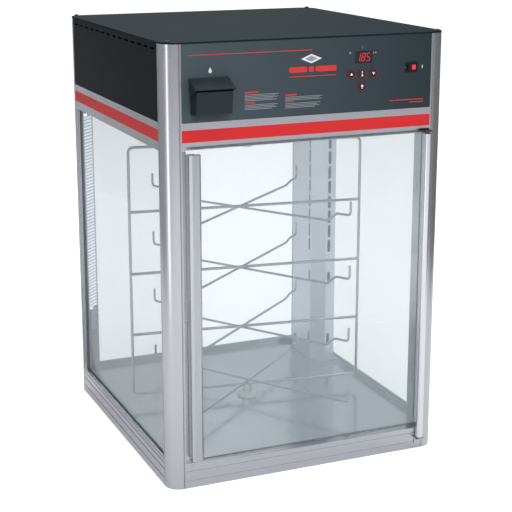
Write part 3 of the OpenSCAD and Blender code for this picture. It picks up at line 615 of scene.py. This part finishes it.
GLYPHS = {
    "key_up": [arrow(*BUTTONS["key_up"], True)],
    "key_down": [arrow(*BUTTONS["key_down"], False)],
    "key_probe": [disc(BUTTONS["key_probe"][0], BUTTONS["key_probe"][1] - 2.8, 1.9, count=20),
                  bar(104.5, 767.2, 106.1, 774.4, 0.7)],
    "key_light": [disc(105.5, 746.6, 2.6, count=20), bar(104.3, 741.6, 106.7, 743.4, 0.4)],
}
SUNK = 0.02                      # how far ink starts inside the face it is printed on
for key, (x, z) in BUTTONS.items():
    button = NODES[key.replace("key", "button")]
    front = min(p.co.y for p in button.data.vertices) / MM
    ring(key + "_ring", x, z, BUTTON_R - 1.1, BUTTON_R - 0.3, "ink_ring", key, front + SUNK)
    printed(key + "_glyph", GLYPHS[key], "ink_white", key, front + SUNK, 0.14)

# the lit half of the rocker, which rests tilted
TILT, AXIS_Y = math.radians(7), PANEL_Y + 2
lit = []
for z in (ROCKER[1] - 4.4, ROCKER[1] + 4.4):
    for x, y in ((0.8, -3.45), (8.1, -4.75), (8.1, -4.4), (0.8, -3.2)):
        lit.append((ROCKER[0] + x * math.cos(TILT) - y * math.sin(TILT),
                    AXIS_Y + x * math.sin(TILT) + y * math.cos(TILT), z))
lit_faces = [[0, 1, 2, 3], [7, 6, 5, 4], [0, 4, 5, 1], [1, 5, 6, 2], [2, 6, 7, 3], [3, 7, 4, 0]]
mesh_piece("rocker_lens", lit, lit_faces, "lit_red", "rocker")

printed("rocker_icons", [disc(ROCKER[0] - 12.5, ROCKER[1], 1.3, count=16),
                         bar(232.2, 773.4, 233.8, 779.6, 0.5)], "ink_white")

# ---- screws of the cover: a cross recess drawn into each dome ----

SCREW_INSET, ARM, BLADE, RECESS_Z = 13.5, 2.2, 0.4, (844.2, 844.9)
crosses = []
for sx, sy in CORNERS:
    x, y = sx * (HALF_W - SCREW_INSET), sy * (HALF_D - SCREW_INSET)
    crosses += [((x - a, x + a), (y - b, y + b), RECESS_Z) for a, b in ((ARM, BLADE), (BLADE, ARM))]
boxes("cover_screw_recesses", crosses, "black_plastic", "cabinet")

# ---- studio ----

def stage_sheet(name, corners, material):
    """A four-cornered sheet that belongs to the studio."""
    mesh = bpy.data.meshes.new(name)
    mesh.from_pydata(corners, [], [[0, 1, 2, 3]])
    mesh.materials.append(material)
    made = placed(name, mesh)
    return made


def floor_paper():
    """Pale paper, lifted a little for camera rays only so that it doesn't light the part."""
    paper = Paint("studio_floor_paper", (0.80, 0.80, 0.81), 0.8, emission=(1, 1, 1, 1),
                  specular=0.1)
    lift = paper.ranged(paper.node("LightPath").outputs["Is Camera Ray"], 0.0, 0.5, WHOLE)
    paper.link(lift, paper.shader.inputs["Emission Strength"])
    return paper.wear(paper.noise(60.0), 0.01, (0.75, 0.85), 0.02)


FLOOR = 14.0                     # half the floor's side, in metres
floor = stage_sheet("studio_floor", [(-FLOOR, -FLOOR, 0), (FLOOR, -FLOOR, 0), (FLOOR, FLOOR, 0),
                                     (-FLOOR, FLOOR, 0)], floor_paper())
floor.location.z = -0.0006


def studio_air():
    """A pale room: white overhead, greyer at the horizon, so that metal has something to mirror."""
    world = bpy.data.worlds.new("studio_air")
    world.use_nodes = True
    tree = world.node_tree

    def add(kind, **settings):
        made = tree.nodes.new("ShaderNode" + kind)
        for key, value in settings.items():
            setattr(made, key, value)
        return made

    def ramp(source, *stops):
        """Colours along source, from (position, red, green, blue) stops."""
        made = add("ValToRGB")
        elements = made.color_ramp.elements
        for k, (position, *colour) in enumerate(stops):
            stop = elements[k] if k < 2 else elements.new(position)
            stop.position = position
            stop.color = (*colour, 1)
        tree.links.new(source, made.inputs["Fac"])
        return made.outputs["Color"]

    split = add("SeparateXYZ")
    tree.links.new(add("TexCoord").outputs["Generated"], split.inputs["Vector"])
    rise = ramp(split.outputs["Z"], (0.02, 0.14, 0.15, 0.17), (0.62, 1.15, 1.15, 1.17),
                (0.24, 0.42, 0.43, 0.46))
    span = add("MapRange")
    span.inputs["From Min"].default_value = -1.0
    tree.links.new(split.outputs["X"], span.inputs["Value"])
    across = ramp(span.outputs["Result"], (0.18, 0.30, 0.30, 0.32), (0.62, 1.0, 1.0, 1.0))
    shade = add("Mix", data_type="RGBA", blend_type="MULTIPLY")
    shade.inputs["Factor"].default_value = 1.0
    tree.links.new(rise, shade.inputs[6])
    tree.links.new(across, shade.inputs[7])
    pick = add("Mix", data_type="RGBA")
    pick.inputs[7].default_value = (1.0, 1.0, 1.0, 1.0)
    tree.links.new(add("LightPath").outputs["Is Camera Ray"], pick.inputs["Factor"])
    tree.links.new(shade.outputs[2], pick.inputs[6])
    back = tree.nodes["Background"]
    tree.links.new(pick.outputs[2], back.inputs["Color"])
    back.inputs["Strength"].default_value = 1.0
    return world


bpy.context.scene.world = studio_air()
bpy.context.scene.view_settings.view_transform = "Standard"


def soft_light(name, place, aim, size, power):
    """A rectangular lamp at place that faces aim, unseen by the camera."""
    data = bpy.data.lights.new(name, "AREA")
    data.shape = "RECTANGLE"
    data.size, data.size_y = size
    data.energy = power
    made = placed(name, data)
    made.location = place
    made.rotation_euler = (Vector(aim) - Vector(place)).to_track_quat("-Z", "Y").to_euler()
    made.visible_camera = False


def flag(name, start, end, height, shade):
    """A dark studio card standing between two floor points, seen only in reflections."""
    cloth = moulded(name + "_cloth", (shade,) * 3, (0.9, 1.0), 60.0, 0.02, 0.02, specular=0.0)
    card = stage_sheet(name, [(*start, 0), (*end, 0), (*end, height), (*start, height)], cloth)
    card.visible_camera = card.visible_diffuse = card.visible_shadow = False


flag("flag_left", (-1.75, -0.35), (-0.9, 2.3), 1.5, 0.42)
flag("flag_right", (1.25, -1.5), (1.7, 0.9), 1.3, 0.30)
MIDDLE = (0.0, 0.0, 0.42)
soft_light("key_light_soft", (-0.7, -3.0, 2.4), MIDDLE, (0.8, 1.8), 46)
soft_light("fill_light_soft", (2.4, -1.6, 1.5), MIDDLE, (0.8, 1.6), 6)
soft_light("back_light_soft", (0.6, 2.6, 2.0), MIDDLE, (2.0, 1.0), 6)
soft_light("top_light_soft", (0.0, 0.0, 3.2), MIDDLE, (2.4, 2.4), 26)
soft_light("edge_light_soft", (-1.5, -0.85, 0.55), (-0.285, -0.305, 0.42), (0.30, 1.3), 2.2)

# ---- camera: the photograph's viewing angle ----

YAW, PITCH = 0.403, 0.245
camera = placed("camera", bpy.data.cameras.new("camera"))
camera.location = (-1.0431, -2.4959, 1.0868)
looking = Vector((math.sin(YAW) * math.cos(PITCH), math.cos(YAW) * math.cos(PITCH),
                  -math.sin(PITCH)))
camera.rotation_euler = looking.to_track_quat("-Z", "Y").to_euler()
camera.data.lens = 93.5
camera.data.sensor_width = 36.0
camera.data.shift_y = -0.051
bpy.context.scene.camera = camera
